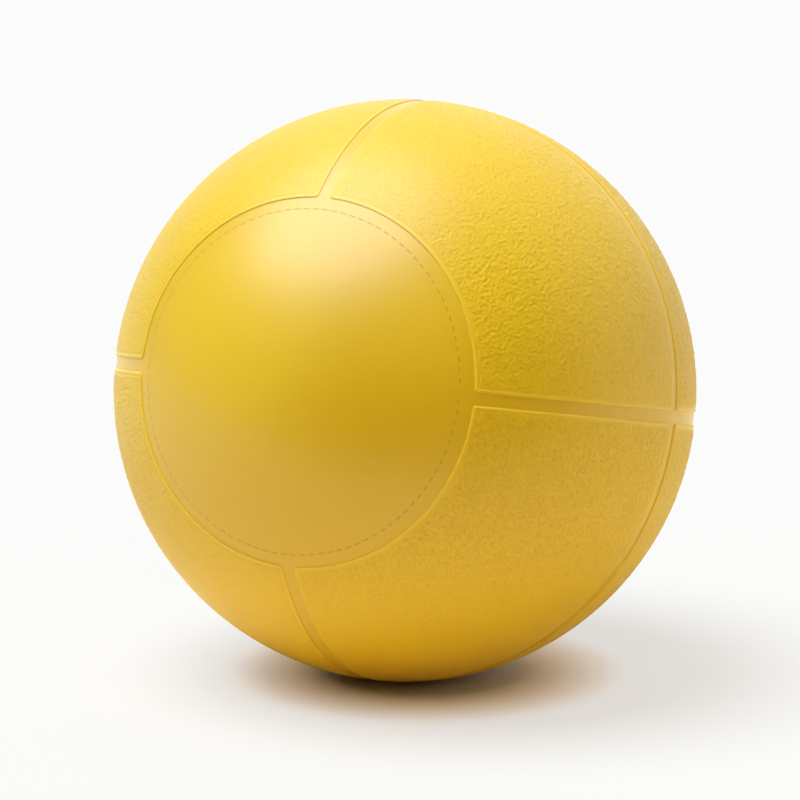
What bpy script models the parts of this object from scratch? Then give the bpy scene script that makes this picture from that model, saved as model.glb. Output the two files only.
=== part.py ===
"""Inflated rubber kickball.

A bladder with a needle valve is wound with thread and cased in a two-part rubber carcass. The
carcass shows as two smooth discs joined by three narrow bands, one round each of the ball's great
circles. Eight raised cover panels sit in the pockets between them.

Metres, +Z up. The ball lies on the floor at the origin. Its front disc faces -Y and is tipped up.
Pieces are modelled about the ball's own axes: +X right, +Y up and +Z out of the front disc.
"""

import math

import bmesh
import bpy
from mathutils import Vector

# Cover
BALL_DIAMETER = 0.254
DISC_DIAMETER = 0.156
BAND_WIDTH = 0.0058
LAND_RECESS = 0.0008
PANEL_THICKNESS = 0.0012
PANEL_CORNER_RADIUS = 0.0015
PANEL_RIM_CHAMFER = 0.0004

# Layers under the panels
CARCASS_WALL = 0.0007
WINDING_THICKNESS = 0.0004
BLADDER_WALL = 0.0006
CLEARANCE = 0.0003

# Needle valve in the rear disc
NEEDLE_HOLE_DIAMETER = 0.0018
NEEDLE_FUNNEL_FLARE = 0.0007
NEEDLE_FUNNEL_DEPTH = 0.0010
PLUG_DIAMETER = 0.0052
PLUG_SET_BACK = 0.0007
PLUG_HEAD_OVERHANG = 0.0010
PLUG_HEAD_LENGTH = 0.0030
STEM_WALL = 0.0016
STEM_SET_BACK = 0.0002
BOOT_WALL = 0.0026
BOOT_LENGTH = 0.0150
FLANGE_OVERHANG = 0.0075
FLANGE_THICKNESS = 0.0012
PATCH_OVERLAP = 0.0060
PATCH_THICKNESS = 0.0010

# How the ball lies
FRONT_TIP_ANGLE = math.radians(13.0)
FLOOR_PATCH_DIAMETER = 0.0270

# Fineness of the round shapes
QUARTER_SEGMENTS = 10
RING_STEP = math.radians(9.6)
CORNER_STEPS = 3
BEARING_CUTS = 3
BEARING_MARGIN = math.radians(6.5)
SHARP_ANGLE = math.radians(40.0)
MERGE_DISTANCE = 0.00001

# The inner layers and the valve use every second step of the cover's
cover_segments = 4 * QUARTER_SEGMENTS
inner_segments = 2 * QUARTER_SEGMENTS

# Radii from the ball's centre, outside to inside
panel_outer = BALL_DIAMETER / 2
panel_inner = panel_outer - PANEL_THICKNESS
pocket_floor = panel_inner - CLEARANCE
land_surface = panel_outer - LAND_RECESS
carcass_inner = pocket_floor - CARCASS_WALL
winding_outer = carcass_inner - CLEARANCE
winding_inner = winding_outer - WINDING_THICKNESS
bladder_outer = winding_inner - CLEARANCE
bladder_inner = bladder_outer - BLADDER_WALL
flange_outer = bladder_inner - CLEARANCE
flange_inner = flange_outer - FLANGE_THICKNESS

# Radii from the valve's axis, inside to outside
needle_radius = NEEDLE_HOLE_DIAMETER / 2
funnel_radius = needle_radius + NEEDLE_FUNNEL_FLARE
plug_radius = PLUG_DIAMETER / 2
plug_bore = plug_radius + CLEARANCE
head_radius = plug_radius + PLUG_HEAD_OVERHANG
head_bore = head_radius + CLEARANCE
stem_radius = plug_bore + STEM_WALL
valve_hole = stem_radius + CLEARANCE
boot_radius = head_bore + BOOT_WALL
patch_hole = boot_radius + CLEARANCE
flange_radius = boot_radius + FLANGE_OVERHANG
patch_step = flange_radius + CLEARANCE
patch_radius = flange_radius + PATCH_OVERLAP

# Distances behind the ball's centre along the valve's axis
boot_end = flange_inner - BOOT_LENGTH
head_end = boot_end + PLUG_HEAD_LENGTH
stem_end = land_surface - STEM_SET_BACK
plug_end = land_surface - PLUG_SET_BACK

# Angles from the front axis; the rear ones mirror them
disc_edge = math.asin(DISC_DIAMETER / 2 / panel_outer)
band_edge = math.acos(BAND_WIDTH / 2 / panel_outer)
panel_first_ring = disc_edge + CLEARANCE / panel_outer
panel_last_ring = band_edge - CLEARANCE / panel_outer
flange_edge = flange_radius / panel_outer
patch_edge = patch_radius / panel_outer

# The carcass halves lap under the equator band, one wall short of its edge
lap_length = BAND_WIDTH / 2 - CARCASS_WALL - CLEARANCE
tongue_outer = (carcass_inner + land_surface - CLEARANCE) / 2
lip_inner = tongue_outer + CLEARANCE

floor_patch_depth = panel_outer - math.sqrt(panel_outer**2 - (FLOOR_PATCH_DIAMETER / 2) ** 2)

# Colour and roughness of each material
FINISHES = {
    "cover_rubber": ((0.78, 0.47, 0.012), 0.50),
    "carcass_rubber": ((0.82, 0.50, 0.016), 0.38),
    "butyl_rubber": ((0.020, 0.020, 0.022), 0.55),
    "nylon_thread": ((0.72, 0.70, 0.64), 0.70),
    "valve_rubber": ((0.055, 0.055, 0.058), 0.50),
}


def clear_scene():
    for thing in list(bpy.data.objects):
        bpy.data.objects.remove(thing, do_unlink=True)


def new_collection(name, parent=None):
    collection = bpy.data.collections.new(name)
    holder = parent or bpy.context.scene.collection
    holder.children.link(collection)
    return collection


def make_material(name):
    colour, roughness = FINISHES[name]
    material = bpy.data.materials.new(name)
    material.use_nodes = True
    shader = material.node_tree.nodes["Principled BSDF"]
    shader.inputs["Base Color"].default_value = (*colour, 1.0)
    shader.inputs["Roughness"].default_value = roughness
    shader.inputs["Metallic"].default_value = 0.0
    return material


def add_object(name, mesh, collection, parent, material=None):
    thing = bpy.data.objects.new(name, mesh)
    collection.objects.link(thing)
    thing.parent = parent
    if material:
        mesh.materials.append(material)
    return thing


def mark_as_cutter(thing):
    thing.hide_render = True
    thing.display_type = "WIRE"


def on_sphere(radius, angle):
    """Profile point at this radius and angle from the front axis."""
    return Vector((radius * math.sin(angle), 0.0, radius * math.cos(angle)))


def at_height(radius, height):
    """Profile point of a sphere at this height along the front axis."""
    return Vector((math.sqrt(radius**2 - height**2), 0.0, height))


def at_rear(distance, from_axis):
    """Profile point this far behind the ball's centre and this far from the valve's axis."""
    return Vector((from_axis, 0.0, -distance))


def at_rear_on_sphere(radius, from_axis):
    """Profile point of a sphere on the valve's side, this far from the valve's axis."""
    return at_rear(math.sqrt(radius**2 - from_axis**2), from_axis)


def steps_between(start, end):
    """Equal steps from start up to, but without, end."""
    count = max(1, math.ceil((end - start) / RING_STEP))
    return [start + (end - start) * step / count for step in range(count)]


def panel_rings():
    """Ring angles of the panels, and of every layer under them."""
    return steps_between(panel_first_ring, panel_last_ring) + [panel_last_ring]


def front_rings():
    """Ring angles of the front half, pole to band."""
    return steps_between(0.0, panel_first_ring) + panel_rings()


def rear_rings():
    """Ring angles of the rear half, band to the valve's flange."""
    from_rear = (
        steps_between(flange_edge, patch_edge)
        + steps_between(patch_edge, panel_first_ring)
        + panel_rings()
    )
    return [math.pi - angle for angle in reversed(from_rear)]


def turned(name, profile, segments, collection, parent, material):
    """Turn a closed profile, which may start and end on the axis, about the front axis."""
    edges = [(point, point + 1) for point in range(len(profile) - 1)]
    if profile[0].x > 0.0:
        edges.append((len(profile) - 1, 0))
    mesh = bpy.data.meshes.new(name)
    mesh.from_pydata(profile, edges, [])
    thing = add_object(name, mesh, collection, parent, material)
    screw = thing.modifiers.new("Turn", "SCREW")
    screw.axis = "Z"
    screw.angle = math.tau
    screw.steps = segments
    screw.render_steps = segments
    screw.use_merge_vertices = True
    screw.merge_threshold = MERGE_DISTANCE
    screw.use_smooth_shade = True
    return thing


def cut(thing, name, cutter):
    boolean = thing.modifiers.new(name, "BOOLEAN")
    boolean.operation = "DIFFERENCE"
    boolean.solver = "EXACT"
    if isinstance(cutter, bpy.types.Collection):
        boolean.operand_type = "COLLECTION"
        boolean.collection = cutter
    else:
        boolean.object = cutter


def sphere_shell(name, outer, inner, collection, parent, material):
    """Thin sphere that is open only at the valve."""
    angles = front_rings() + rear_rings()
    profile = [on_sphere(outer, angle) for angle in angles]
    profile.append(at_rear_on_sphere(outer, valve_hole))
    profile.append(at_rear_on_sphere(inner, valve_hole))
    profile += [on_sphere(inner, angle) for angle in reversed(angles)]
    return turned(name, profile, inner_segments, collection, parent, material)


def carcass_front(collection, parent, material):
    """Front half of the carcass, with the tongue of the lap joint on its inside."""
    angles = front_rings()
    profile = [on_sphere(land_surface, angle) for angle in angles]
    profile.append(at_height(land_surface, CLEARANCE / 2))
    profile.append(at_height(tongue_outer, CLEARANCE / 2))
    profile.append(at_height(tongue_outer, -lap_length))
    profile.append(at_height(carcass_inner, -lap_length))
    profile += [on_sphere(carcass_inner, angle) for angle in reversed(angles)]
    return turned("carcass_front", profile, cover_segments, collection, parent, material)


def carcass_rear(collection, parent, material):
    """Rear half of the carcass, with the lip of the lap joint and the valve's hole."""
    angles = rear_rings()
    profile = [at_height(land_surface, -CLEARANCE / 2)]
    profile += [on_sphere(land_surface, angle) for angle in angles]
    profile.append(at_rear_on_sphere(land_surface, valve_hole))
    profile.append(at_rear_on_sphere(carcass_inner, valve_hole))
    profile += [on_sphere(carcass_inner, angle) for angle in reversed(angles)]
    profile.append(at_height(carcass_inner, -lap_length - CLEARANCE))
    profile.append(at_height(lip_inner, -lap_length - CLEARANCE))
    profile.append(at_height(lip_inner, -CLEARANCE / 2))
    return turned("carcass_rear", profile, cover_segments, collection, parent, material)


def lies_on_face(edge, radius):
    """Edge with both ends on the face of this radius, within half a panel's thickness."""
    return all(abs(vert.co.length - radius) < PANEL_THICKNESS / 2 for vert in edge.verts)


def is_sharp(edge):
    return edge.calc_face_angle() > SHARP_ANGLE


def is_corner(edge):
    """Sharp edge that runs outwards from the ball's centre."""
    along = (edge.verts[1].co - edge.verts[0].co).normalized()
    outwards = edge.verts[0].co.normalized()
    return abs(along.dot(outwards)) > math.cos(SHARP_ANGLE) and is_sharp(edge)


def mirrored(point, signs):
    return Vector(value * sign for value, sign in zip(point, signs))


def panel_blank(outer, inner, edge_gap):
    """Quarter turn of a spherical shell between a disc and the equator band, open at its sides."""
    first = disc_edge + edge_gap / panel_outer
    last = band_edge - edge_gap / panel_outer
    angles = [first] + panel_rings()[1:-1] + [last]
    profile = [on_sphere(outer, angle) for angle in angles]
    profile += [on_sphere(inner, angle) for angle in reversed(angles)]
    shape = bmesh.new()
    verts = [shape.verts.new(point) for point in profile]
    edges = [shape.edges.new((verts[index - 1], verts[index])) for index in range(len(verts))]
    bmesh.ops.spin(
        shape,
        geom=verts + edges,
        cent=(0.0, 0.0, 0.0),
        axis=(0.0, 0.0, 1.0),
        angle=math.pi / 2,
        steps=QUARTER_SEGMENTS,
    )
    return shape


def refine_bearing(shape, radius, lowest):
    """Smaller facets on the outer face round the spot where the ball bears on the floor."""
    reach = FLOOR_PATCH_DIAMETER / 2 / radius + BEARING_MARGIN
    near = [
        edge for edge in shape.edges
        if lies_on_face(edge, radius) and any(vert.co.angle(lowest) < reach for vert in edge.verts)
    ]
    if near:
        made = bmesh.ops.subdivide_edges(shape, edges=near, cuts=BEARING_CUTS, use_grid_fill=True)
        for item in made["geom_inner"]:
            if isinstance(item, bmesh.types.BMVert):
                item.co = item.co.normalized() * radius


def trim_sides(shape, edge_gap):
    """Cut the blank along the two bands that meet at the disc, and close the cut sides."""
    side = BAND_WIDTH / 2 + edge_gap
    for normal in (Vector((1.0, 0.0, 0.0)), Vector((0.0, 1.0, 0.0))):
        cut_line = bmesh.ops.bisect_plane(
            shape,
            geom=shape.verts[:] + shape.edges[:] + shape.faces[:],
            plane_co=normal * side,
            plane_no=normal,
            clear_inner=True,
        )["geom_cut"]
        cut_edges = [item for item in cut_line if isinstance(item, bmesh.types.BMEdge)]
        bmesh.ops.holes_fill(shape, edges=cut_edges, sides=0)


def round_edges(shape, edges, size, steps):
    bmesh.ops.bevel(shape, geom=edges, offset=size, segments=steps, profile=0.5, affect="EDGES")


def finish_panel(name, shape, signs):
    """Turn the shape into the mesh of one eighth of the ball."""
    for vert in shape.verts:
        vert.co = mirrored(vert.co, signs)
    if shape.calc_volume(signed=True) < 0.0:
        bmesh.ops.reverse_faces(shape, faces=shape.faces[:])
    mesh = bpy.data.meshes.new(name)
    shape.to_mesh(mesh)
    shape.free()
    mesh.shade_smooth()
    mesh.set_sharp_from_angle(angle=SHARP_ANGLE)
    return mesh


def panel_mesh(name, signs):
    """Raised cover panel, four-sided, with round corners and a chamfered rim."""
    shape = panel_blank(panel_outer, panel_inner, CLEARANCE)
    lowest = Vector((0.0, -math.cos(FRONT_TIP_ANGLE), -math.sin(FRONT_TIP_ANGLE)))
    refine_bearing(shape, panel_outer, mirrored(lowest, signs))
    trim_sides(shape, CLEARANCE)
    bmesh.ops.recalc_face_normals(shape, faces=shape.faces[:])
    corners = [edge for edge in shape.edges if is_corner(edge)]
    round_edges(shape, corners, PANEL_CORNER_RADIUS, CORNER_STEPS)
    rim = [edge for edge in shape.edges if lies_on_face(edge, panel_outer) and is_sharp(edge)]
    round_edges(shape, rim, PANEL_RIM_CHAMFER, 1)
    return finish_panel(name, shape, signs)


def pocket_mesh(name, signs):
    """Room for a panel and its clearance, reaching out past the ball's surface."""
    shape = panel_blank(panel_outer + PANEL_THICKNESS, pocket_floor, 0.0)
    trim_sides(shape, 0.0)
    bmesh.ops.recalc_face_normals(shape, faces=shape.faces[:])
    corners = [edge for edge in shape.edges if is_corner(edge)]
    round_edges(shape, corners, PANEL_CORNER_RADIUS + CLEARANCE, CORNER_STEPS)
    return finish_panel(name, shape, signs)


def panel_places():
    """Name and signs of each eighth of the ball; left and right as seen facing the front disc."""
    for end, along_front in (("front", 1), ("rear", -1)):
        for level, along_up in (("upper", 1), ("lower", -1)):
            for hand, along_right in (("left", -1), ("right", 1)):
                yield end, f"{end}_{level}_{hand}", (along_right, along_up, along_front)


def valve_seat(collection, parent, material):
    """Boot with a flange inside the bladder and a stem out to the rear disc."""
    shoulder = head_end + CLEARANCE
    profile = [
        at_rear(boot_end, boot_radius),
        at_rear_on_sphere(flange_inner, boot_radius),
        at_rear_on_sphere(flange_inner, flange_radius),
        at_rear_on_sphere(flange_outer, flange_radius),
        at_rear_on_sphere(flange_outer, stem_radius),
        at_rear(stem_end, stem_radius),
        at_rear(stem_end, plug_bore),
        at_rear(shoulder, plug_bore),
        at_rear(shoulder, head_bore),
        at_rear(boot_end, head_bore),
    ]
    return turned("valve_seat", profile, inner_segments, collection, parent, material)


def valve_patch(collection, parent, material):
    """Stepped washer over the flange and on to the bladder's inside."""
    over_flange = flange_inner - CLEARANCE
    inner_step = patch_step + PATCH_THICKNESS
    profile = [
        at_rear_on_sphere(over_flange - PATCH_THICKNESS, patch_hole),
        at_rear_on_sphere(over_flange - PATCH_THICKNESS, inner_step),
        at_rear_on_sphere(flange_outer - PATCH_THICKNESS, inner_step),
        at_rear_on_sphere(flange_outer - PATCH_THICKNESS, patch_radius),
        at_rear_on_sphere(flange_outer, patch_radius),
        at_rear_on_sphere(flange_outer, patch_step),
        at_rear_on_sphere(over_flange, patch_step),
        at_rear_on_sphere(over_flange, patch_hole),
    ]
    return turned("valve_patch", profile, inner_segments, collection, parent, material)


def valve_plug(collection, parent, material):
    """Plug with a retaining head at its inner end and a passage for the needle."""
    profile = [
        at_rear(boot_end, head_radius),
        at_rear(head_end, head_radius),
        at_rear(head_end, plug_radius),
        at_rear(plug_end, plug_radius),
        at_rear(plug_end, funnel_radius),
        at_rear(plug_end - NEEDLE_FUNNEL_DEPTH, needle_radius),
        at_rear(boot_end, needle_radius),
    ]
    return turned("valve_plug", profile, inner_segments, collection, parent, material)


def floor_block(collection):
    """Block under the floor that flattens the ball where it bears."""
    bpy.ops.mesh.primitive_cube_add(size=BALL_DIAMETER, location=(0.0, 0.0, -BALL_DIAMETER / 2))
    block = bpy.context.object
    block.name = "floor_block"
    for holder in list(block.users_collection):
        holder.objects.unlink(block)
    collection.objects.link(block)
    mark_as_cutter(block)
    return block


def build():
    clear_scene()
    ball = new_collection("kickball")
    cutters = new_collection("cutters")
    pockets = {end: new_collection(f"{end}_pockets", cutters) for end in ("front", "rear")}

    lie = bpy.data.objects.new("ball_lie", None)
    lie.location = (0.0, 0.0, panel_outer - floor_patch_depth)
    lie.rotation_euler = (math.pi / 2 - FRONT_TIP_ANGLE, 0.0, 0.0)
    ball.objects.link(lie)

    materials = {name: make_material(name) for name in FINISHES}
    butyl = materials["butyl_rubber"]

    sphere_shell("bladder", bladder_outer, bladder_inner, ball, lie, butyl)
    sphere_shell("thread_winding", winding_outer, winding_inner, ball, lie, materials["nylon_thread"])
    valve_patch(ball, lie, butyl)
    valve_seat(ball, lie, butyl)
    valve_plug(ball, lie, materials["valve_rubber"])
    halves = {
        "front": carcass_front(ball, lie, materials["carcass_rubber"]),
        "rear": carcass_rear(ball, lie, materials["carcass_rubber"]),
    }

    covers = list(halves.values())
    for end, place, signs in panel_places():
        panel = panel_mesh(f"panel_{place}", signs)
        covers.append(add_object(f"panel_{place}", panel, ball, lie, materials["cover_rubber"]))
        pocket = pocket_mesh(f"pocket_{place}", signs)
        mark_as_cutter(add_object(f"pocket_{place}", pocket, pockets[end], lie))

    block = floor_block(cutters)
    for end, half in halves.items():
        cut(half, "Pockets", pockets[end])
    for cover in covers:
        cut(cover, "Floor patch", block)
    for half in halves.values():
        weld = half.modifiers.new("Weld cuts", "WELD")
        weld.merge_threshold = MERGE_DISTANCE


build()
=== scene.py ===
"""Looks of an inflated yellow rubber kickball: grained panels, smooth bands and discs, needle valve.

Everything is modelled round the ball's own centre with the front disc facing +Z, and is then laid
down as the ball lies on the floor: the front disc faces -Y and is tipped up.
"""
import math

import bmesh
import bpy
import numpy as np
from mathutils import Matrix, Vector


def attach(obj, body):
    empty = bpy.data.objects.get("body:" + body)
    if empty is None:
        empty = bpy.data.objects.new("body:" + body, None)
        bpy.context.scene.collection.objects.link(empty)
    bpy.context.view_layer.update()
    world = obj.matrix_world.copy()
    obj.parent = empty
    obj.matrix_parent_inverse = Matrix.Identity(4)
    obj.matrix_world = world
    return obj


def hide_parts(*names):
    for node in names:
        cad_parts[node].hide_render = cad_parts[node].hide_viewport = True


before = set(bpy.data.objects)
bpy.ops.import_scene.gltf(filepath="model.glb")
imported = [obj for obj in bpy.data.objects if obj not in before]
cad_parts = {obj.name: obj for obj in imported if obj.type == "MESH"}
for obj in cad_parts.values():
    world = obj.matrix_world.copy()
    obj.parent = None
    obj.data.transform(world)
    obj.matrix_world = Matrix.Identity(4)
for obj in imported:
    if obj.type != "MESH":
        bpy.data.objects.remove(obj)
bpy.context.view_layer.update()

# Sizes of the ball, in metres
BALL_RADIUS = 0.127
LAND_RADIUS = 0.1264
CARCASS_INNER_RADIUS = 0.1248
DISC_RADIUS = 0.078
BAND_HALF_WIDTH = 0.0027
FLOOR_PATCH_RADIUS = 0.0135
CENTRE_HEIGHT = math.sqrt(BALL_RADIUS ** 2 - FLOOR_PATCH_RADIUS ** 2)
FRONT_TIP = math.radians(13)
MERGE_DISTANCE = 0.000005

# Panels: the rim is a smooth round bead with a narrow groove inside it, and the grain starts behind it.
# Each front panel has its own share of the grain's height. A highlight is painted on the rim in a pale
# colour, and the grain and that painted highlight fade out towards the floor.
PANEL_CORNER_RADIUS = 0.0015
PANEL_FOOT_SINK = 0.0001
PANEL_SMOOTH_ANGLE = math.radians(60)
RIM_ROUND_WIDTH = 0.0009
# Painted highlight on the bead: its width, its fade and how much of the pale colour it takes
BEAD_WIDTH = 0.0011
BEAD_FADE = 0.0005
PAINTED_RIM_HIGHLIGHT = 0.4
GROOVE_PLACE = 0.0019
GROOVE_HALF_WIDTH = 0.0008
GROOVE_DEPTH = 0.00024
GRAIN_START = 0.002
GRAIN_FULL = 0.003
GRAIN_PITCH = 0.00102
GRAIN_HEIGHT = 0.00088
CREASE_PITCH = 0.0018
CREASE_HEIGHT = 0.00028
PANEL_GRAIN = {"front_upper_left": 0.6, "front_upper_right": 0.9, "front_lower_left": 0.7,
               "front_lower_right": 1.22}
FLOOR_FADE_START = 0.025
FLOOR_FADE_END = 0.085

# Relief, which the rubber's tone reads to paint shade into the grain's hollows and highlight onto its
# tops: the value where the grain leaves the face as it was, and the height that adds 1 to it
RELIEF_EVEN = 0.5
RELIEF_RANGE = 0.00055

# Grids that a panel's face and underside are bent from, with lines close together along the rim
GRID_SIZE = 2
RIM_LINES = (0, 0.00007, 0.00016, 0.00028, 0.00043, 0.0006, 0.0008, 0.001,
             0.0012, 0.0014, 0.0016, 0.0018, 0.002, 0.0022, 0.0024, 0.0027)
GRAIN_COLUMNS = 336
GRAIN_ROWS = 234
UNDERSIDE_COLUMNS = 40
UNDERSIDE_ROWS = 24
UNDERSIDE_INSET = 0.001

# Smooth carcass: the spacing of its outline's points, in degrees
OUTER_RING_STEP = 3
INNER_RING_STEP = 6
EQUATOR_DEGREES = 90
TURNED_SMOOTH_ANGLE = math.radians(40)

# Ring of short pressed dashes just inside each disc's edge. Guard points beside it keep the disc round
# and the evenly spaced points stay clear of it, at distances in half widths of a dash.
DASH_COUNT = 105
DASH_STEPS = 8
DASH_FIRST_STEP = 1
DASH_LAST_STEP = 5
DASH_RING_ANGLE = math.radians(35.1)
DASH_HALF_WIDTH = 0.000425
DASH_SLOPE = 0.00012
DASH_DEPTH = 0.0001
DASH_GUARD = 4
DASH_CLEARANCE = 5

# Needle valve in the middle of the rear disc
VALVE_SEGMENTS = 96
VALVE_HOLE_RADIUS = 0.0048
VALVE_HOLE_ROUND = 0.0005
VALVE_HOLE_ROUND_STEPS = 4
STEM_RADIUS = 0.0045
STEM_END = 0.126
BORE_RADIUS = 0.0029
HEAD_BORE_RADIUS = 0.0039
BOOT_RADIUS = 0.0065
BOOT_END = 0.1067
HEAD_END = 0.1097
FLANGE_RADIUS = 0.014
FLANGE_OUTER = 0.1229
FLANGE_INNER = 0.1217
PLUG_RADIUS = 0.0026
PLUG_HEAD_RADIUS = 0.0036
PLUG_END = 0.1255
NEEDLE_RADIUS = 0.0009
FUNNEL_RADIUS = 0.0016
FUNNEL_DEPTH = 0.001
VALVE_EDGE_ROUND = 0.0003
VALVE_EDGE_ROUND_STEPS = 3

# Camera
PHOTO_SIZE = 800
BALL_IN_PHOTO = (405, 390.5)
BALL_RADIUS_IN_PHOTO = 291.3
CAMERA_AZIMUTH = math.radians(25.4)
CAMERA_ELEVATION = math.radians(12.1)
CAMERA_DISTANCE = 2.4
SENSOR_WIDTH = 36

# Lights and walls, each from a side that is given as the camera sees it: right, up and towards it.
# Shiny layers mirror some of the lights, and the others light the colour under those layers.
LIGHT_HEIGHT = 2
KEY_DIRECTION = (-0.33, 0.92, 0.22)
LIGHTS = {
    "key": {"direction": KEY_DIRECTION, "strength": 3.4, "angle": math.radians(40),
            "colour": (0.94, 1, 1.02), "mirrored": False},
    "softbox": {"direction": KEY_DIRECTION, "strength": 3.15, "angle": math.radians(58),
                "colour": (0.94, 0.98, 1.1), "mirrored": True},
    "left_reflector": {"direction": (-0.88, 0.34, 0.28), "strength": 1.25, "angle": math.radians(72),
                       "colour": (1, 0.97, 0.15), "mirrored": True},
    "front_reflector": {"direction": (0.2, 0.42, 0.88), "strength": 0.5, "angle": math.radians(50),
                        "colour": (1, 0.74, 0.08), "mirrored": True},
    "fill": {"direction": (0.1, 0.6, 0.8), "strength": 1.06, "angle": math.radians(70),
             "colour": (1, 0.82, 0.45), "mirrored": False},
}
WALLS = (
    {"direction": (0.52, 0.21, -0.83), "start": 0.1, "full": 0.5, "level": 0.65},
    {"direction": (-0.75, 0, -0.66), "start": 0.75, "full": 0.97, "level": 0.22},
    {"direction": (0.15, 0.2, -0.97), "start": 0.7, "full": 0.95, "level": 0.5},
)

# Floor: its colour for bounced light is painted warm near the ball and cooler further off, and a painted
# glow lifts its shadow, warm near the ball and white further off
FLOOR_SIZE = 20
FLOOR_FRONT = 0.5
FLOOR_ROUGHNESS = 0.9
FLOOR_SHINE = 0.1
FLOOR_WHITE = (0.66, 0.667, 0.682, 1)
BOUNCE_NEAR = (0.81, 0.68, 0.41, 1)
BOUNCE_FAR = (0.80, 0.74, 0.62, 1)
BOUNCE_CENTRE = (0.4, 0, 0.3)
BOUNCE_COOLS = (0.5, 1.2)
FADE_START = 0.041
FADE_END = 0.085
FADE_SHARE = 0.61
FADE_WHITE = (1, 1, 1, 1)
FADE_WARM = (1, 0.63, 0.33, 1)
FADE_CENTRE = (0.009, 0, 0)
FADE_COOLS = (0.045, 0.09)
FADE_STRENGTH = 0.97

# Colours of the rubber and the thread
# Each finish has a base colour, a deep colour for clouding and for shade painted into hollows, and a pale
# colour for wear, painted highlights on tops and the painted rim highlight
PANEL_YELLOW = (0.86, 0.58, 0.006, 1)
PANEL_DEEP = (0.76, 0.47, 0.004, 1)
PANEL_PALE = (0.95, 0.67, 0.06, 1)
SMOOTH_YELLOW = (0.79, 0.507, 0.005, 1)
SMOOTH_DEEP = (0.775, 0.50, 0.004, 1)
SMOOTH_PALE = (0.80, 0.53, 0.008, 1)
DASH_BROWN = (0.62, 0.375, 0.008, 1)
DASH_DARK = (0.57, 0.335, 0.006, 1)
BUTYL_BLACK = (0.02, 0.02, 0.022, 1)
BUTYL_DEEP = (0.012, 0.012, 0.013, 1)
BUTYL_WORN = (0.07, 0.07, 0.072, 1)
VALVE_GREY = (0.055, 0.055, 0.058, 1)
VALVE_DEEP = (0.035, 0.035, 0.037, 1)
VALVE_WORN = (0.12, 0.12, 0.125, 1)
THREAD_WHITE = (0.72, 0.70, 0.64, 1)
THREAD_DEEP = (0.46, 0.43, 0.36, 1)
THREAD_WORN_AND_HIGHLIT = (0.80, 0.79, 0.75, 1)

# Patterns of the rubber and the thread: how many to a metre, and how they show
CLOUD_SCALE = 18
CLOUD_DETAIL = 4
SPECKLE_SCALE = 420
COARSE_SKIN_SCALE = 700
FINE_SKIN_SCALE = 3200
FINE_DETAIL = 2
PATTERN_LOW = 0.35
PATTERN_HIGH = 0.7
PATTERN_MIDDLE = 0.5
EVEN_WEAR = 0.1
THREAD_TURNS = ((0.3, 0.2, 0), (1.2, -0.4, 0.8))
THREAD_SCALE = 380
THREAD_WAVER = 0.6
THREAD_DEPTH = 0.0002
THREAD_SHEEN = 0.3

to_the_floor = (Matrix.Translation((0, 0, CENTRE_HEIGHT))
                @ Matrix.Rotation(math.pi / 2 - FRONT_TIP, 4, "X"))


def deselect_all():
    bpy.ops.object.select_all(action="DESELECT")


def make_active(piece):
    deselect_all()
    piece.select_set(True)
    bpy.context.view_layer.objects.active = piece


def edit(piece, select="SELECT"):
    """Opens a piece in edit mode with all or none of it selected."""
    make_active(piece)
    bpy.ops.object.mode_set(mode="EDIT")
    bpy.ops.mesh.select_all(action=select)


def leave_edit():
    bpy.ops.object.mode_set(mode="OBJECT")


def face_outwards(piece):
    """Turns a closed mesh whose faces all point inwards the right way round."""
    shape = bmesh.new()
    shape.from_mesh(piece.data)
    inside_out = shape.calc_volume(signed=True) < 0
    shape.free()
    if inside_out:
        edit(piece)
        bpy.ops.mesh.flip_normals()
        leave_edit()


def lay_down(piece):
    """Turns a finished piece as the ball lies on the floor, with its place in its mesh."""
    make_active(piece)
    piece.matrix_world = to_the_floor
    bpy.ops.object.transform_apply(location=True, rotation=True, scale=True)


def finish_piece(piece, node, materials, smooth_angle):
    """Gives a piece its materials and shading and puts it in the place of its CAD node."""
    make_active(piece)
    bpy.ops.object.shade_smooth_by_angle(angle=smooth_angle)
    for material in materials:
        piece.data.materials.append(material)
    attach(piece, "root")
    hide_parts(node)


# Panels

def rim_height(distance):
    """Height of a panel's face over the ball's radius, at a distance from its edge."""
    share = min(distance / RIM_ROUND_WIDTH, 1)
    foot = BALL_RADIUS - LAND_RADIUS + PANEL_FOOT_SINK
    bead = foot * (math.sqrt(1 - (1 - share) ** 2) - 1)
    offset = (distance - GROOVE_PLACE) / GROOVE_HALF_WIDTH
    groove = GROOVE_DEPTH * max(0, 1 - offset * offset) ** 2
    return bead - groove


def line_place(index, last, length):
    """Where a grid line crosses a side of a panel: close together at the rims and even between."""
    rim_last = len(RIM_LINES) - 1
    if index <= rim_last:
        return RIM_LINES[index]
    if last - index <= rim_last:
        return length - RIM_LINES[last - index]
    share = (index - rim_last) / (last - 2 * rim_last)
    return RIM_LINES[-1] + share * (length - 2 * RIM_LINES[-1])


def even_place(index, last, length):
    """Where a line of the underside's even grid crosses a side of a panel."""
    return UNDERSIDE_INSET + index / last * (length - 2 * UNDERSIDE_INSET)


def band_turn(polar):
    """Angle round the front axis from the middle of a band to the panel's edge beside it."""
    return math.asin(BAND_HALF_WIDTH / (BALL_RADIUS * math.sin(polar)))


def side_length(polar):
    """Length of a panel round the front axis, at an angle from that axis."""
    return BALL_RADIUS * math.sin(polar) * (math.pi / 2 - 2 * band_turn(polar))


def rounded_corner(across, along):
    """Draws two distances from a panel's edges in, so that its corner is round."""
    across_gap = PANEL_CORNER_RADIUS - across
    along_gap = PANEL_CORNER_RADIUS - along
    if across_gap <= 0 or along_gap <= 0:
        return across, along
    pull = max(across_gap, along_gap) / math.hypot(across_gap, along_gap)
    return PANEL_CORNER_RADIUS - across_gap * pull, PANEL_CORNER_RADIUS - along_gap * pull


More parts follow.
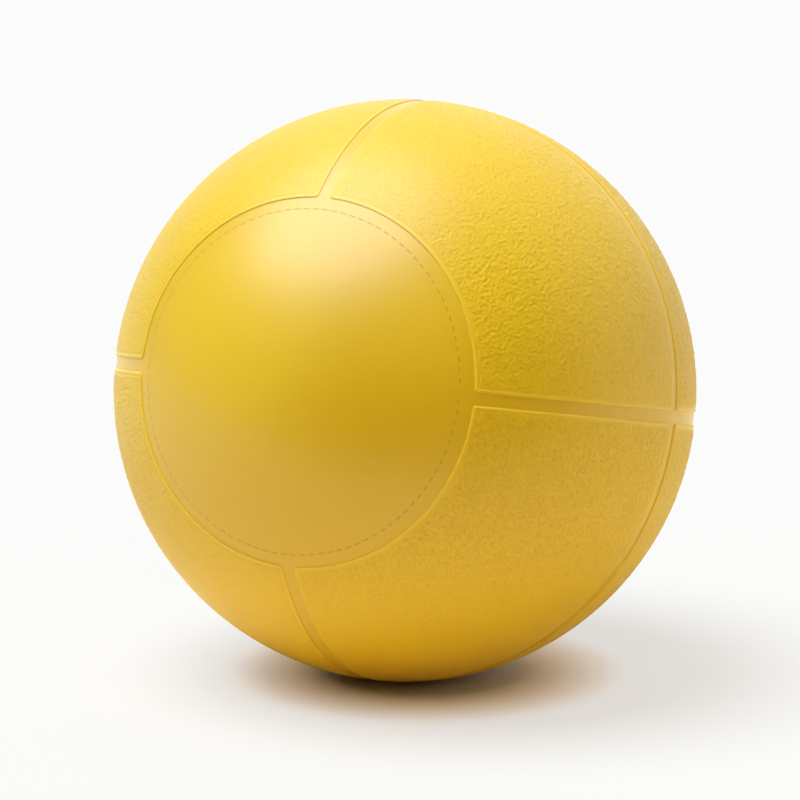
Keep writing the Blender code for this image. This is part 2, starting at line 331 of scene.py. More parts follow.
def bend_onto_ball(piece, columns, rows, place, radius_at):
    """Lays a flat grid on the ball between two bands, the disc and the equator band.

    Returns each vertex's distance from the panel's edge and whether that edge is the equator's.
    """
    disc_edge = math.asin(DISC_RADIUS / BALL_RADIUS)
    equator_edge = math.acos(BAND_HALF_WIDTH / BALL_RADIUS)
    depth = BALL_RADIUS * (equator_edge - disc_edge)
    edges = []
    for vertex in piece.data.vertices:
        column = round((vertex.co.x / GRID_SIZE + 0.5) * columns)
        row = round((vertex.co.y / GRID_SIZE + 0.5) * rows)
        along = place(row, rows, depth)
        length = side_length(disc_edge + along / BALL_RADIUS)
        across = place(column, columns, length)
        far_side = across > length / 2
        far_row = along > depth / 2
        across = min(across, length - across)
        along = min(along, depth - along)
        edge_distance = min(across, along)
        by_equator = far_row and along < across
        across, along = rounded_corner(across, along)
        polar = disc_edge + along / BALL_RADIUS
        if far_row:
            polar = equator_edge - along / BALL_RADIUS
        turn = band_turn(polar) + across / (BALL_RADIUS * math.sin(polar))
        if far_side:
            turn = math.pi / 2 - turn
        flat = math.sin(polar)
        direction = Vector((flat * math.cos(turn), flat * math.sin(turn), math.cos(polar)))
        vertex.co = direction * radius_at(edge_distance)
        edges.append((edge_distance, by_equator))
    return edges


def add_grid(name, columns, rows):
    """A flat grid round the origin."""
    deselect_all()
    bpy.ops.mesh.primitive_grid_add(x_subdivisions=columns, y_subdivisions=rows, size=GRID_SIZE)
    grid = bpy.context.object
    grid.name = name
    return grid


def smooth_step(value, low, high):
    """Rises gently from 0 at a low value to 1 at a high one."""
    share = min(max((value - low) / (high - low), 0), 1)
    return share * share * (3 - 2 * share)


def painted_rim_highlight(distance, by_equator):
    """How much highlight is painted on a panel's rim, at a distance from its edge. Along the equator none
    is painted.
    """
    if by_equator:
        return 0
    return PAINTED_RIM_HIGHLIGHT * (1 - smooth_step(distance, BEAD_WIDTH, BEAD_WIDTH + BEAD_FADE))


def panel_blank():
    """One panel with its rim, still without grain, in the quarter right of and above the front disc."""
    rim_intervals = 2 * (len(RIM_LINES) - 1)
    columns = GRAIN_COLUMNS + rim_intervals
    rows = GRAIN_ROWS + rim_intervals
    face = add_grid("panel_blank", columns, rows)
    edges = bend_onto_ball(
        face, columns, rows, line_place, lambda distance: BALL_RADIUS + rim_height(distance))
    grain_area = face.vertex_groups.new(name="grain_area")
    for index, (distance, _) in enumerate(edges):
        grain_area.add([index], smooth_step(distance, GRAIN_START, GRAIN_FULL), "REPLACE")
    # Highlight painted on the rim, kept on each vertex
    bead = face.data.attributes.new("bead", "FLOAT", "POINT")
    bead.data.foreach_set("value", [painted_rim_highlight(*edge) for edge in edges])
    underside = add_grid("panel_underside", UNDERSIDE_COLUMNS, UNDERSIDE_ROWS)
    underside_radius = LAND_RADIUS - PANEL_FOOT_SINK
    bend_onto_ball(
        underside, UNDERSIDE_COLUMNS, UNDERSIDE_ROWS, even_place, lambda distance: underside_radius)
    make_active(face)
    underside.select_set(True)
    bpy.ops.object.join()
    edit(face, "DESELECT")
    bpy.ops.mesh.select_mode(type="EDGE")
    bpy.ops.mesh.select_non_manifold(extend=False, use_wire=False, use_boundary=True,
                                     use_multi_face=False, use_non_contiguous=False, use_verts=False)
    bpy.ops.mesh.bridge_edge_loops()
    bpy.ops.mesh.select_all(action="SELECT")
    bpy.ops.mesh.normals_make_consistent(inside=False)
    leave_edit()
    return face


def apply_displace(piece, texture, height):
    """Presses a texture into the grained area of a panel."""
    make_active(piece)
    relief = piece.modifiers.new(texture.name, "DISPLACE")
    relief.texture = texture
    relief.texture_coords = "LOCAL"
    relief.direction = "NORMAL"
    relief.mid_level = RELIEF_EVEN
    relief.strength = height
    relief.vertex_group = "grain_area"
    bpy.ops.object.modifier_apply(modifier=relief.name)


def radii(piece):
    """Distance of each vertex from the ball's centre."""
    places = np.empty(len(piece.data.vertices) * 3)
    piece.data.vertices.foreach_get("co", places)
    return np.linalg.norm(places.reshape(-1, 3) - (0, 0, CENTRE_HEIGHT), axis=1)


def grain_texture(name, pitch, kind):
    """Lumps of one size, soft or with sharp creases between them."""
    texture = bpy.data.textures.new(name, "CLOUDS")
    texture.noise_basis = "IMPROVED_PERLIN"
    texture.noise_scale = pitch
    texture.noise_depth = 0
    texture.noise_type = kind
    return texture


def press_on_floor(piece):
    """Flattens a piece where the ball bears on the floor."""
    for vertex in piece.data.vertices:
        vertex.co.z = max(vertex.co.z, 0)


def fade_to_floor(piece):
    """Takes the grain and the painted rim highlight off the underside of the ball."""
    bead = piece.data.attributes["bead"].data
    low_vertices = [vertex for vertex in piece.data.vertices if vertex.co.z < FLOOR_FADE_END]
    for vertex in low_vertices:
        share = smooth_step(vertex.co.z, FLOOR_FADE_START, FLOOR_FADE_END)
        bead[vertex.index].value *= share
        for membership in vertex.groups:
            membership.weight *= share


def panel(blank, place, signs, textures, material):
    """A copy of the blank in its own eighth of the ball, with its own stretch of grain."""
    make_active(blank)
    bpy.ops.object.duplicate(linked=False)
    piece = bpy.context.object
    piece.name = "grained_" + place
    piece.scale = signs
    bpy.ops.object.transform_apply(location=True, rotation=True, scale=True)
    face_outwards(piece)
    lay_down(piece)
    fade_to_floor(piece)
    smooth_radii = radii(piece)
    depth = PANEL_GRAIN.get(place, 1)
    for texture, height in textures:
        apply_displace(piece, texture, height * depth)
    # From this relief the tone paints shade into the grain's hollows and highlight onto its tops
    relief = piece.data.attributes.new("relief", "FLOAT", "POINT")
    relief.data.foreach_set("value", RELIEF_EVEN + (radii(piece) - smooth_radii) / RELIEF_RANGE)
    press_on_floor(piece)
    finish_piece(piece, "panel_" + place, [material], PANEL_SMOOTH_ANGLE)


# Turned pieces

def on_ball(radius, polar):
    """Point of an outline at an angle from the front axis."""
    return Vector((radius * math.sin(polar), 0, radius * math.cos(polar)))


def turned(name, outline, segments, sectors=1):
    """A closed outline drawn point by point and spun round the front axis, or through one sector."""
    deselect_all()
    bpy.ops.mesh.primitive_plane_add(size=MERGE_DISTANCE)
    piece = bpy.context.object
    piece.name = name
    bpy.ops.object.mode_set(mode="EDIT")
    bpy.ops.mesh.select_mode(type="VERT")
    bpy.ops.mesh.select_all(action="SELECT")
    bpy.ops.mesh.merge(type="CENTER")
    bpy.ops.transform.translate(value=outline[0])
    for before, after in zip(outline, outline[1:]):
        bpy.ops.mesh.extrude_region_move(TRANSFORM_OT_translate={"value": after - before})
    bpy.ops.mesh.select_all(action="SELECT")
    bpy.ops.mesh.spin(steps=segments, angle=2 * math.pi / sectors, center=(0, 0, 0), axis=(0, 0, 1))
    leave_edit()
    return piece


def close_up(piece):
    """Joins a turned piece at its seams and poles and points its faces outwards."""
    edit(piece)
    bpy.ops.mesh.remove_doubles(threshold=MERGE_DISTANCE)
    bpy.ops.mesh.normals_make_consistent(inside=False)
    leave_edit()
    face_outwards(piece)


def repeat_round(piece, count):
    """Repeats one sector of a turned piece all the way round the front axis."""
    deselect_all()
    bpy.ops.object.empty_add(rotation=(0, 0, 2 * math.pi / count))
    turn = bpy.context.object
    make_active(piece)
    ring = piece.modifiers.new("ring", "ARRAY")
    ring.count = count
    ring.use_relative_offset = False
    ring.use_object_offset = True
    ring.offset_object = turn
    bpy.ops.object.modifier_apply(modifier=ring.name)
    bpy.data.objects.remove(turn)


def half_outline(start_outer, start_inner):
    """Outline of one half of the smooth carcass, from its disc's middle to the equator and back."""
    dash_turn = DASH_HALF_WIDTH / LAND_RADIUS
    dash_rings = [DASH_RING_ANGLE + dash_turn * offset for offset in (-DASH_GUARD, -1, 1, DASH_GUARD)]
    outer_degrees = range(OUTER_RING_STEP, EQUATOR_DEGREES, OUTER_RING_STEP)
    even_rings = [math.radians(degrees) for degrees in outer_degrees]
    clear_rings = [ring for ring in even_rings if abs(ring - DASH_RING_ANGLE) > DASH_CLEARANCE * dash_turn]
    outer_rings = sorted(dash_rings + clear_rings)
    inner_degrees = range(EQUATOR_DEGREES - INNER_RING_STEP, 0, -INNER_RING_STEP)
    inner_rings = [math.radians(degrees) for degrees in inner_degrees]
    equator = math.radians(EQUATOR_DEGREES)
    return (start_outer
            + [on_ball(LAND_RADIUS, ring) for ring in outer_rings]
            + [on_ball(LAND_RADIUS, equator), on_ball(CARCASS_INNER_RADIUS, equator)]
            + [on_ball(CARCASS_INNER_RADIUS, ring) for ring in inner_rings]
            + start_inner)


def press_dash(piece):
    """Presses a dash into one sector of a disc and gives it the second material."""
    piece.data.materials.append(smooth_rubber)
    piece.data.materials.append(dash_rubber)
    edit(piece)
    bpy.ops.mesh.normals_make_consistent(inside=False)
    bpy.ops.mesh.select_mode(type="FACE")
    bpy.ops.mesh.select_all(action="DESELECT")
    leave_edit()
    step_turn = 2 * math.pi / (DASH_COUNT * DASH_STEPS)
    half_turn = DASH_HALF_WIDTH / LAND_RADIUS
    outside = (LAND_RADIUS + CARCASS_INNER_RADIUS) / 2
    for face in piece.data.polygons:
        middle = face.center
        step = math.floor(abs(math.atan2(middle.y, middle.x)) / step_turn)
        in_ring = abs(math.acos(middle.z / middle.length) - DASH_RING_ANGLE) < half_turn
        face.select = in_ring and middle.length > outside and DASH_FIRST_STEP <= step <= DASH_LAST_STEP
    bpy.ops.object.mode_set(mode="EDIT")
    bpy.ops.mesh.inset(thickness=DASH_SLOPE, depth=-DASH_DEPTH)
    piece.active_material_index = 1
    bpy.ops.object.material_slot_assign()
    leave_edit()


def carcass_half(name, outline):
    """One half of the smooth carcass: a sector with one dash, repeated round the axis."""
    piece = turned(name, outline, DASH_STEPS, DASH_COUNT)
    press_dash(piece)
    repeat_round(piece, DASH_COUNT)
    close_up(piece)
    return piece


def carcass_front():
    """The front half, whose disc has no hole."""
    pole = [on_ball(LAND_RADIUS, 0)]
    inner_pole = [on_ball(CARCASS_INNER_RADIUS, 0)]
    return carcass_half("smooth_front", half_outline(pole, inner_pole))


def turn_to_rear(piece):
    """Swings a piece that was turned on the front axis round to the rear disc."""
    make_active(piece)
    piece.rotation_euler = (math.pi, 0, 0)
    bpy.ops.object.transform_apply(location=True, rotation=True, scale=True)


def on_sphere(radius, across):
    """Point of an outline on a sphere, at a distance from the axis."""
    return Vector((across, 0, math.sqrt(radius ** 2 - across ** 2)))


def quarter_round(wall, height, size, steps):
    """Rounded corner from an upright wall up to a level top further out."""
    points = []
    for step in range(steps + 1):
        turn = math.pi / 2 * step / steps
        across = wall + size * (1 - math.cos(turn))
        drop = size * (1 - math.sin(turn))
        points.append(Vector((across, 0, height - drop)))
    return points


def carcass_rear():
    """The rear half, with the round-edged hole for the valve in the middle of its disc."""
    outer_edge = on_sphere(LAND_RADIUS, VALVE_HOLE_RADIUS)
    hole = quarter_round(VALVE_HOLE_RADIUS, outer_edge.z, VALVE_HOLE_ROUND, VALVE_HOLE_ROUND_STEPS)
    inner_edge = [on_sphere(CARCASS_INNER_RADIUS, VALVE_HOLE_RADIUS), hole[0]]
    piece = carcass_half("smooth_rear", half_outline(hole, inner_edge))
    turn_to_rear(piece)
    return piece


def rounded_top(inner, outer, height):
    """Top edge of a valve piece with both of its corners rounded."""
    rising = quarter_round(inner, height, VALVE_EDGE_ROUND, VALVE_EDGE_ROUND_STEPS)
    falling = [Vector((inner + outer - point.x, 0, point.z)) for point in reversed(rising)]
    return rising + falling


def valve_piece(name, outline):
    """A piece of the valve from half of its section, in its place in the rear disc."""
    piece = turned(name, outline, VALVE_SEGMENTS)
    close_up(piece)
    turn_to_rear(piece)
    return piece


def valve_seat():
    """The flanged boot, whose stem reaches out to the disc."""
    outline = [Vector((HEAD_BORE_RADIUS, 0, BOOT_END)),
               Vector((HEAD_BORE_RADIUS, 0, HEAD_END)),
               Vector((BORE_RADIUS, 0, HEAD_END))]
    outline += rounded_top(BORE_RADIUS, STEM_RADIUS, STEM_END)
    outline += [on_sphere(FLANGE_OUTER, STEM_RADIUS),
                on_sphere(FLANGE_OUTER, FLANGE_RADIUS),
                on_sphere(FLANGE_INNER, FLANGE_RADIUS),
                on_sphere(FLANGE_INNER, BOOT_RADIUS),
                Vector((BOOT_RADIUS, 0, BOOT_END)),
                outline[0]]
    return valve_piece("valve_boot", outline)


def valve_plug():
    """The stopper in the boot, with the needle's passage and its funnel."""
    outline = [Vector((NEEDLE_RADIUS, 0, BOOT_END)),
               Vector((NEEDLE_RADIUS, 0, PLUG_END - FUNNEL_DEPTH))]
    outline += rounded_top(FUNNEL_RADIUS, PLUG_RADIUS, PLUG_END)
    outline += [Vector((PLUG_RADIUS, 0, HEAD_END)),
                Vector((PLUG_HEAD_RADIUS, 0, HEAD_END)),
                Vector((PLUG_HEAD_RADIUS, 0, BOOT_END)),
                outline[0]]
    return valve_piece("valve_stopper", outline)


# Materials

def add_node(tree, kind, **settings):
    """A new node with its settings."""
    node = tree.nodes.new(kind)
    for setting, value in settings.items():
        setattr(node, setting, value)
    return node


def new_group(name, inputs, outputs):
    """A shader node group with named inputs, given as (name, kind, value), and outputs."""
    group = bpy.data.node_groups.new(name, "ShaderNodeTree")
    for label, kind, value in inputs:
        socket = group.interface.new_socket(label, in_out="INPUT", socket_type=kind)
        socket.default_value = value
    for label, kind in outputs:
        group.interface.new_socket(label, in_out="OUTPUT", socket_type=kind)
    return group


def object_noise(tree, scale, detail):
    """Noise on the piece's own coordinates."""
    place = add_node(tree, "ShaderNodeTexCoord")
    noise = add_node(tree, "ShaderNodeTexNoise")
    noise.inputs["Scale"].default_value = scale
    noise.inputs["Detail"].default_value = detail
    tree.links.new(place.outputs["Object"], noise.inputs["Vector"])
    return noise.outputs["Fac"]


def calculate(tree, operation, first, second):
    """A maths node on two values, each a socket or a number."""
    node = add_node(tree, "ShaderNodeMath", operation=operation)
    for socket, value in zip(node.inputs, (first, second)):
        if isinstance(value, (int, float)):
            socket.default_value = value
        else:
            tree.links.new(value, socket)
    return node.outputs[0]


def spread(tree, value, low, high):
    """Stretches a value between two levels to the range from 0 to 1."""
    node = add_node(tree, "ShaderNodeMapRange", clamp=True)
    node.inputs["From Min"].default_value = low
    node.inputs["From Max"].default_value = high
    tree.links.new(value, node.inputs["Value"])
    return node.outputs["Result"]


def blend(tree, share, first, second):
    """A mix of two colours, each a socket or a colour."""
    node = add_node(tree, "ShaderNodeMix", data_type="RGBA")
    tree.links.new(share, node.inputs["Factor"])
    for label, colour in (("A", first), ("B", second)):
        if isinstance(colour, tuple):
            node.inputs[label].default_value = colour
        else:
            tree.links.new(colour, node.inputs[label])
    return node.outputs["Result"]


def rubber_tone_group():
    """Colour and roughness of moulded rubber: soft clouding, painted shade in hollows, tops paler with
    painted highlight and speckled wear, and a painted highlight along a rim.
    """
    group = new_group(
        "rubber_tone",
        [("Base", "NodeSocketColor", PANEL_YELLOW),
         ("Deep", "NodeSocketColor", PANEL_DEEP),
         ("Pale", "NodeSocketColor", PANEL_PALE),
         ("Relief", "NodeSocketFloat", RELIEF_EVEN),
         ("Bead", "NodeSocketFloat", 0),
         ("Clouding", "NodeSocketFloat", 0.5),
         ("Wear And Highlight", "NodeSocketFloat", 0.5),
         ("Roughness", "NodeSocketFloat", 0.45),
         ("Roughness Swing", "NodeSocketFloat", 0.08)],
        [("Color", "NodeSocketColor"), ("Roughness", "NodeSocketFloat")])
    given = add_node(group, "NodeGroupInput").outputs
    result = add_node(group, "NodeGroupOutput").inputs
    clouds = spread(group, object_noise(group, CLOUD_SCALE, CLOUD_DETAIL), PATTERN_LOW, PATTERN_HIGH)
    speckle = spread(group, object_noise(group, SPECKLE_SCALE, FINE_DETAIL), PATTERN_LOW, PATTERN_HIGH)
    cloud_share = calculate(group, "MULTIPLY", clouds, given["Clouding"])
    # Painted shade: the relief's hollows take the deep colour, added to the clouding
    hollow = calculate(group, "SUBTRACT", RELIEF_EVEN, given["Relief"])
    deep_share = calculate(group, "ADD", cloud_share, calculate(group, "MAXIMUM", hollow, 0))
    # Painted highlight: the relief's tops take the pale colour, together with speckled wear that also
    # reaches even ground
    top = calculate(group, "MAXIMUM", calculate(group, "MULTIPLY", hollow, -1), 0)
    worn_and_highlit = calculate(group, "MULTIPLY", calculate(group, "ADD", top, EVEN_WEAR), speckle)
    pale_share = calculate(group, "MULTIPLY", worn_and_highlit, given["Wear And Highlight"])
    deepened = blend(group, deep_share, given["Base"], given["Deep"])
    wear_and_highlight_colour = blend(group, pale_share, deepened, given["Pale"])
    # Bead paints a highlight in the pale colour along a panel's rim
    colour = blend(group, given["Bead"], wear_and_highlight_colour, given["Pale"])
    roughness = given["Roughness"]
    for pattern in (clouds, speckle):
        offset = calculate(group, "SUBTRACT", pattern, PATTERN_MIDDLE)
        swing = calculate(group, "MULTIPLY", offset, given["Roughness Swing"])
        roughness = calculate(group, "ADD", roughness, swing)
    group.links.new(colour, result["Color"])
    group.links.new(roughness, result["Roughness"])
    return group


def satin_skin_group():
    """Height of the very fine skin that moulded rubber has."""
    group = new_group("satin_skin",
                      [("Fine", "NodeSocketFloat", 0.5), ("Coarse", "NodeSocketFloat", 0.5)],
                      [("Height", "NodeSocketFloat")])
    given = add_node(group, "NodeGroupInput").outputs
    result = add_node(group, "NodeGroupOutput").inputs
    fine_noise = object_noise(group, FINE_SKIN_SCALE, FINE_DETAIL)
    coarse_noise = object_noise(group, COARSE_SKIN_SCALE, FINE_DETAIL)
    fine = calculate(group, "MULTIPLY", fine_noise, given["Fine"])
    coarse = calculate(group, "MULTIPLY", coarse_noise, given["Coarse"])
    group.links.new(calculate(group, "ADD", fine, coarse), result["Height"])
    return group


def place_group(tree, group, values):
    """A group in a material, with this material's own values."""
    node = add_node(tree, "ShaderNodeGroup", node_tree=group)
    for label, value in values.items():
        node.inputs[label].default_value = value
    return node


def new_material(name):
    """A material, its node tree and its shader."""
    material = bpy.data.materials.new(name)
    material.use_nodes = True
    tree = material.node_tree
    return material, tree, tree.nodes["Principled BSDF"]


def add_tone(tree, shader, values):
    """Colours a shader with the shared tone and returns the tone's inputs."""
    tone = place_group(tree, rubber_tone, values)
    tree.links.new(tone.outputs["Color"], shader.inputs["Base Color"])
    tree.links.new(tone.outputs["Roughness"], shader.inputs["Roughness"])
    return tone.inputs


def add_bump(tree, shader, height, depth):
    """Roughens a shader's surface by a height that reaches a given depth."""
    bump = add_node(tree, "ShaderNodeBump")
    bump.inputs["Strength"].default_value = 1
    bump.inputs["Distance"].default_value = depth
    tree.links.new(height, bump.inputs["Height"])
    tree.links.new(bump.outputs["Normal"], shader.inputs["Normal"])


def ball_normal(tree):
    """The way out from the ball's centre."""
    place = add_node(tree, "ShaderNodeTexCoord")
    outwards = add_node(tree, "ShaderNodeVectorMath", operation="SUBTRACT")
    tree.links.new(place.outputs["Object"], outwards.inputs[0])
    outwards.inputs[1].default_value = (0, 0, CENTRE_HEIGHT)
    normal = add_node(tree, "ShaderNodeVectorMath", operation="NORMALIZE")
    tree.links.new(outwards.outputs["Vector"], normal.inputs[0])
    return normal.outputs["Vector"]


def rubber(name, tone, skin, skin_depth, shine, measures=(), film=None):
    """Rubber with the shared tone and skin, each with this finish's own values.

    Measures are the tone's inputs that each vertex of the piece gives for itself. A film is a thin
    glossy layer that lies over the grain and so follows the ball's own round.
    """
    material, tree, shader = new_material(name)
    shader.inputs["Specular IOR Level"].default_value = shine
    tone_inputs = add_tone(tree, shader, tone)
    for measure in measures:
        measured = add_node(tree, "ShaderNodeAttribute", attribute_name=measure.lower())
        tree.links.new(measured.outputs["Fac"], tone_inputs[measure])
    skin_height = place_group(tree, satin_skin, skin).outputs["Height"]
    add_bump(tree, shader, skin_height, skin_depth)
    if film:
        for label, value in film.items():
            shader.inputs["Coat " + label].default_value = value
        tree.links.new(ball_normal(tree), shader.inputs["Coat Normal"])
    return material


def dull_tone(base, deep, pale, roughness):
    """Values of the shared tone for the dull pieces inside the ball and in the valve."""
    return {"Base": base, "Deep": deep, "Pale": pale, "Clouding": 0.8, "Wear And Highlight": 0.6,
            "Roughness": roughness, "Roughness Swing": 0.1}


def thread_material():
    """Nylon thread wound side by side, with a second winding that crosses it."""
    material, tree, shader = new_material("wound_nylon_thread")
    shader.inputs["Sheen Weight"].default_value = THREAD_SHEEN
    place = add_node(tree, "ShaderNodeTexCoord")
    heights = []
    for turn in THREAD_TURNS:
        mapping = add_node(tree, "ShaderNodeMapping")
        mapping.inputs["Rotation"].default_value = turn
        wave = add_node(tree, "ShaderNodeTexWave")
        wave.inputs["Scale"].default_value = THREAD_SCALE
        wave.inputs["Distortion"].default_value = THREAD_WAVER
        tree.links.new(place.outputs["Object"], mapping.inputs["Vector"])
        tree.links.new(mapping.outputs["Vector"], wave.inputs["Vector"])
        heights.append(wave.outputs["Fac"])
    height = calculate(tree, "MAXIMUM", *heights)
    tone_inputs = add_tone(tree, shader, dull_tone(THREAD_WHITE, THREAD_DEEP, THREAD_WORN_AND_HIGHLIT, roughness=0.6))
    # The winding's height paints shade between the threads and highlight on their crowns
    tree.links.new(height, tone_inputs["Relief"])
    add_bump(tree, shader, height, THREAD_DEPTH)
    return material


# Studio

def seen_from_camera(right, up, towards):
    """A direction given as the camera sees it, as a direction in the scene."""
    sine, cosine = math.sin(CAMERA_AZIMUTH), math.cos(CAMERA_AZIMUTH)
    tilt_sine, tilt_cosine = math.sin(CAMERA_ELEVATION), math.cos(CAMERA_ELEVATION)
    to_right = Vector((cosine, sine, 0))
    to_top = Vector((-sine * tilt_sine, cosine * tilt_sine, tilt_cosine))
    to_camera = Vector((sine * tilt_cosine, -cosine * tilt_cosine, tilt_sine))
    return to_right * right + to_top * up + to_camera * towards


def add_camera():
    """A long lens at the photograph's angle, with the ball where the photograph has it."""
    focal_pixels = BALL_RADIUS_IN_PHOTO / math.tan(math.asin(BALL_RADIUS / CAMERA_DISTANCE))
    pixel = CAMERA_DISTANCE / focal_pixels
    middle = PHOTO_SIZE / 2
    centre = Vector((0, 0, CENTRE_HEIGHT))
    aim = centre + seen_from_camera((middle - BALL_IN_PHOTO[0]) * pixel,
                                    (BALL_IN_PHOTO[1] - middle) * pixel, 0)
    deselect_all()
    bpy.ops.object.camera_add(location=centre + seen_from_camera(0, 0, CAMERA_DISTANCE))
    camera = bpy.context.object
    camera.data.sensor_width = SENSOR_WIDTH
    camera.data.lens = focal_pixels * SENSOR_WIDTH / PHOTO_SIZE
    camera.rotation_euler = (aim - camera.location).to_track_quat("-Z", "Y").to_euler()
    bpy.context.scene.camera = camera


def add_soft_light(name, direction, strength, angle, colour, mirrored):
    """A wide soft light that shiny layers mirror, or that lights the colour under them."""
    deselect_all()
    bpy.ops.object.light_add(type="SUN", location=(0, 0, LIGHT_HEIGHT))
    light = bpy.context.object
    light.name = name
    light.data.energy = strength
    light.data.angle = angle
    light.data.color = colour
    light.visible_glossy = mirrored
    light.visible_diffuse = not mirrored
    light.data.cycles.use_multiple_importance_sampling = False
    light.rotation_euler = seen_from_camera(*direction).to_track_quat("Z", "Y").to_euler()


def facing(tree, direction, aim):
    """How far a direction of the room faces one way, from -1 to 1."""
    node = add_node(tree, "ShaderNodeVectorMath", operation="DOT_PRODUCT")
    tree.links.new(direction, node.inputs[0])
    node.inputs[1].default_value = aim
    return node.outputs["Value"]


def add_world():
    """A dark room with pale walls behind and at the sides, which the camera sees as plain white."""
    world = bpy.data.worlds.new("pale_walled_room")
    world.use_nodes = True
    tree = world.node_tree
    background = tree.nodes["Background"]
    background.inputs["Color"].default_value = (1, 1, 1, 1)
    direction = add_node(tree, "ShaderNodeTexCoord").outputs["Generated"]
    level = 0
    for wall in WALLS:
        towards = facing(tree, direction, seen_from_camera(*wall["direction"]))
        lit = spread(tree, towards, wall["start"], wall["full"])
        level = calculate(tree, "ADD", level, calculate(tree, "MULTIPLY", lit, wall["level"]))
    path = add_node(tree, "ShaderNodeLightPath")
    strength = add_node(tree, "ShaderNodeMix", data_type="FLOAT")
    tree.links.new(path.outputs["Is Camera Ray"], strength.inputs["Factor"])
    tree.links.new(level, strength.inputs["A"])
    strength.inputs["B"].default_value = 1
    tree.links.new(strength.outputs["Result"], background.inputs["Strength"])
    bpy.context.scene.world = world


def distance_from(tree, centre):
    """Distance of a point of the floor from a place that is given as the camera sees it."""
    node = add_node(tree, "ShaderNodeVectorMath", operation="DISTANCE")
    tree.links.new(add_node(tree, "ShaderNodeTexCoord").outputs["Object"], node.inputs[0])
    node.inputs[1].default_value = seen_from_camera(*centre)
    return node.outputs["Value"]


def add_floor():
    """A pale floor, painted warm for the light that it bounces, with a painted glow that lifts its shadow
    to white a little way from the ball.
    """
    deselect_all()
    setback = FLOOR_SIZE / 2 - FLOOR_FRONT
    bpy.ops.mesh.primitive_plane_add(
        size=FLOOR_SIZE, rotation=(0, 0, CAMERA_AZIMUTH),
        location=(-math.sin(CAMERA_AZIMUTH) * setback, math.cos(CAMERA_AZIMUTH) * setback, 0))
    floor = bpy.context.object
    bpy.ops.object.transform_apply()
    floor.name = "floor"
    material, tree, shader = new_material("white_floor")
    shader.inputs["Roughness"].default_value = FLOOR_ROUGHNESS
    shader.inputs["Specular IOR Level"].default_value = FLOOR_SHINE
    seen = add_node(tree, "ShaderNodeLightPath").outputs["Is Camera Ray"]
    # Colour painted on the floor for bounced light: warm near the ball, as light off the yellow ball
    away = distance_from(tree, BOUNCE_CENTRE)
    bounce = blend(tree, spread(tree, away, *BOUNCE_COOLS), BOUNCE_NEAR, BOUNCE_FAR)
    tree.links.new(blend(tree, seen, bounce, FLOOR_WHITE), shader.inputs["Base Color"])
    # Painted glow that only the camera sees: it lifts the shadow and tints it warm near the ball
    shadow_distance = distance_from(tree, FADE_CENTRE)
    fade = spread(tree, shadow_distance, FADE_START, FADE_END)
    share = calculate(tree, "MULTIPLY", calculate(tree, "MULTIPLY", fade, FADE_SHARE), seen)
    white = add_node(tree, "ShaderNodeEmission")
    white.inputs["Strength"].default_value = FADE_STRENGTH
    tint = blend(tree, spread(tree, shadow_distance, *FADE_COOLS), FADE_WARM, FADE_WHITE)
    tree.links.new(tint, white.inputs["Color"])
    mixed = add_node(tree, "ShaderNodeMixShader")
    tree.links.new(share, mixed.inputs["Fac"])
    tree.links.new(shader.outputs["BSDF"], mixed.inputs[1])
    tree.links.new(white.outputs["Emission"], mixed.inputs[2])
    tree.links.new(mixed.outputs["Shader"], tree.nodes["Material Output"].inputs["Surface"])
    floor.data.materials.append(material)


# The ball

rubber_tone = rubber_tone_group()
satin_skin = satin_skin_group()
# The grained rubber's tone paints shade into the grain's hollows and highlight onto its tops and rim
panel_rubber = rubber(
    "grained_yellow_rubber",
    tone={"Base": PANEL_YELLOW, "Deep": PANEL_DEEP, "Pale": PANEL_PALE, "Clouding": 0.2, "Wear And Highlight": 0.7,
          "Roughness": 0.48, "Roughness Swing": 0.06},
    skin={"Fine": 0.35, "Coarse": 0.65},
    skin_depth=0.00002,
    shine=0.08,
    measures=("Relief", "Bead"),
    film={"Weight": 1, "Roughness": 0.42, "IOR": 1.62})
smooth_rubber = rubber(
    "smooth_yellow_rubber",
    tone={"Base": SMOOTH_YELLOW, "Deep": SMOOTH_DEEP, "Pale": SMOOTH_PALE, "Clouding": 0.3, "Wear And Highlight": 0.05,
          "Roughness": 0.40, "Roughness Swing": 0.01},
    skin={"Fine": 0.5, "Coarse": 0.5},
    skin_depth=0.000002,
    shine=1,
    film={"Weight": 1, "Roughness": 0.25, "IOR": 1.15})
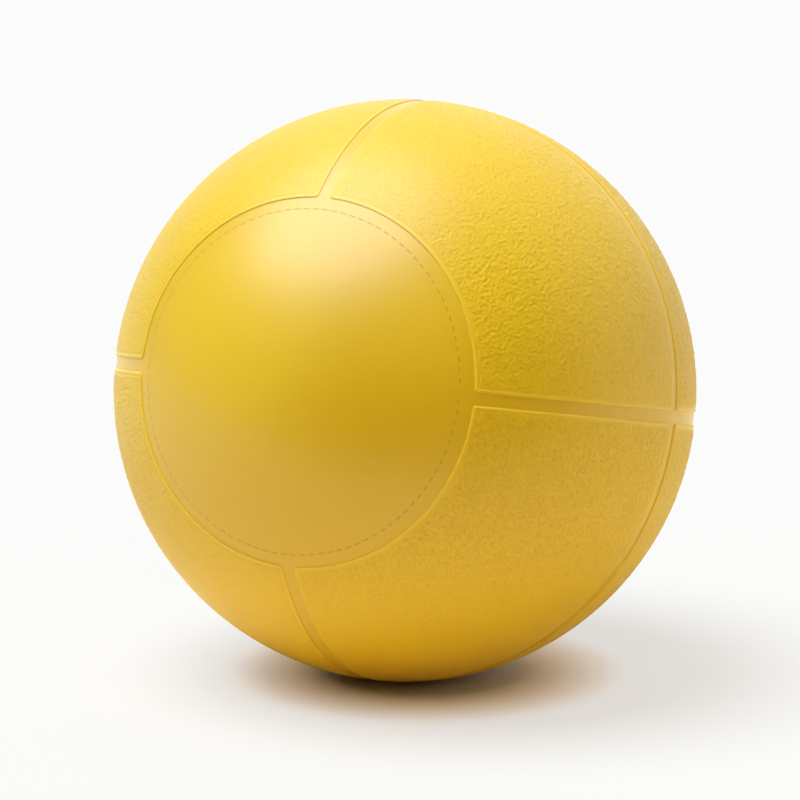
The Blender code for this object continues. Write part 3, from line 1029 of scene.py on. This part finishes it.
dash_rubber = rubber(
    "pressed_dash_rubber",
    tone={"Base": DASH_BROWN, "Deep": DASH_DARK, "Pale": SMOOTH_DEEP, "Clouding": 0.5, "Wear And Highlight": 0.3,
          "Roughness": 0.40, "Roughness Swing": 0.03},
    skin={"Fine": 0.5, "Coarse": 0.5},
    skin_depth=0.000004,
    shine=1)
butyl_rubber = rubber(
    "black_butyl_rubber",
    tone=dull_tone(BUTYL_BLACK, BUTYL_DEEP, BUTYL_WORN, roughness=0.6),
    skin={"Fine": 0.5, "Coarse": 0.5},
    skin_depth=0.00006,
    shine=0.4)
valve_rubber = rubber(
    "grey_valve_rubber",
    tone=dull_tone(VALVE_GREY, VALVE_DEEP, VALVE_WORN, roughness=0.55),
    skin={"Fine": 0.6, "Coarse": 0.4},
    skin_depth=0.00004,
    shine=0.5)
wound_thread = thread_material()

grain_textures = [
    (grain_texture("pebble_grain", GRAIN_PITCH, "SOFT_NOISE"), GRAIN_HEIGHT),
    (grain_texture("grain_creases", CREASE_PITCH, "HARD_NOISE"), CREASE_HEIGHT),
]
blank = panel_blank()
for half, half_sign in (("front", 1), ("rear", -1)):
    for level, level_sign in (("upper", 1), ("lower", -1)):
        for side, side_sign in (("left", -1), ("right", 1)):
            panel(blank, f"{half}_{level}_{side}", (side_sign, level_sign, half_sign),
                  grain_textures, panel_rubber)
bpy.data.objects.remove(blank)

for half_name, half in (("carcass_front", carcass_front()), ("carcass_rear", carcass_rear())):
    lay_down(half)
    press_on_floor(half)
    finish_piece(half, half_name, [], TURNED_SMOOTH_ANGLE)
boot = valve_seat()
lay_down(boot)
finish_piece(boot, "valve_seat", [butyl_rubber], TURNED_SMOOTH_ANGLE)
stopper = valve_plug()
lay_down(stopper)
finish_piece(stopper, "valve_plug", [valve_rubber], TURNED_SMOOTH_ANGLE)

for node, material in (("bladder", butyl_rubber), ("valve_patch", butyl_rubber),
                       ("thread_winding", wound_thread)):
    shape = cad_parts[node].data
    shape.materials.clear()
    shape.materials.append(material)

add_camera()
for light_name, settings in LIGHTS.items():
    add_soft_light(light_name, **settings)
add_world()
add_floor()
bpy.context.scene.view_settings.view_transform = "Standard"
